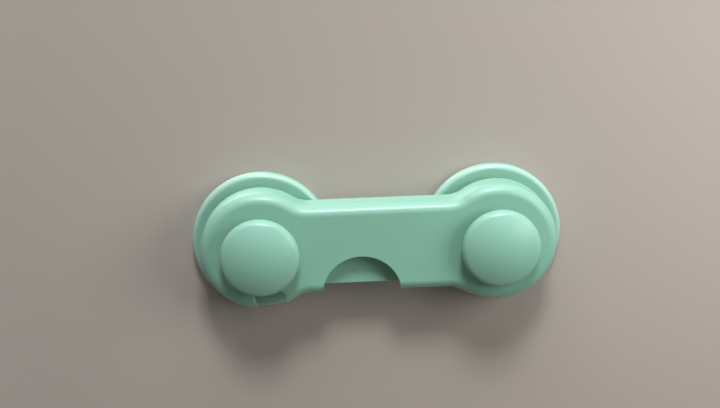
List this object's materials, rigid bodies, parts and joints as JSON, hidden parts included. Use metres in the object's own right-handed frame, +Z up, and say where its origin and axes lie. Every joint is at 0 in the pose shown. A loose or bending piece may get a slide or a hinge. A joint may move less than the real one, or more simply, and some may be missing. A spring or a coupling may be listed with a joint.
{
  "type": "cabinet safety lock",
  "caption": "Stick-on cabinet door safety lock: a bone-shaped arm swings between round adhesive bases and is released by a push button.",
  "frame": {"origin": "centre of the right (pivot) pad's adhesive face, on the door's face", "axes": "+X to the right along the arm away from the latch end, +Y into the door, +Z up"},
  "size_m": [0.1152, 0.026, 0.0432],
  "materials": {
    "mint_plastic": "satin moulded plastic",
    "button_plastic": "satin moulded plastic",
    "inner_plastic": "natural acetal",
    "foam": "closed-cell foam tape",
    "spring_steel": "bright spring steel"
  },
  "bodies": {
    "bases": {"left_pad": "foam", "left_base": "mint_plastic", "left_spring_plug": "inner_plastic", "left_spring": "spring_steel", "right_pad": "foam", "right_base": "mint_plastic", "right_spring_plug": "inner_plastic", "right_spring": "spring_steel", "pivot_washer": "inner_plastic", "pivot_clip": "spring_steel"},
    "arm": {"arm_shell": "mint_plastic", "arm_back_cover": "mint_plastic", "cover_screws": "spring_steel", "pivot_bush": "inner_plastic"},
    "left_button": {"left_plunger": "inner_plastic", "left_button_cap": "button_plastic", "latch_collet": "inner_plastic"},
    "right_button": {"right_plunger": "inner_plastic", "right_button_cap": "button_plastic"}
  },
  "joints": [
    {"name": "arm_swing", "type": "hinge", "parent": "bases", "child": "arm", "pos_m": [0, 0, 0], "axis": [0, 1, 0], "range_deg": [0, 180], "deforming": ["latch_collet"]},
    {"name": "left_button_press", "type": "slide", "parent": "bases", "child": "left_button", "axis": [0, 1, 0], "range_m": [0, 0.003], "stiffness_N_per_m": 600, "springref_m": -0.003, "deforming": ["left_spring"]},
    {"name": "right_button_press", "type": "slide", "parent": "bases", "child": "right_button", "axis": [0, 1, 0], "range_m": [0, 0.003], "stiffness_N_per_m": 600, "springref_m": -0.003, "deforming": ["right_spring"]}
  ]
}
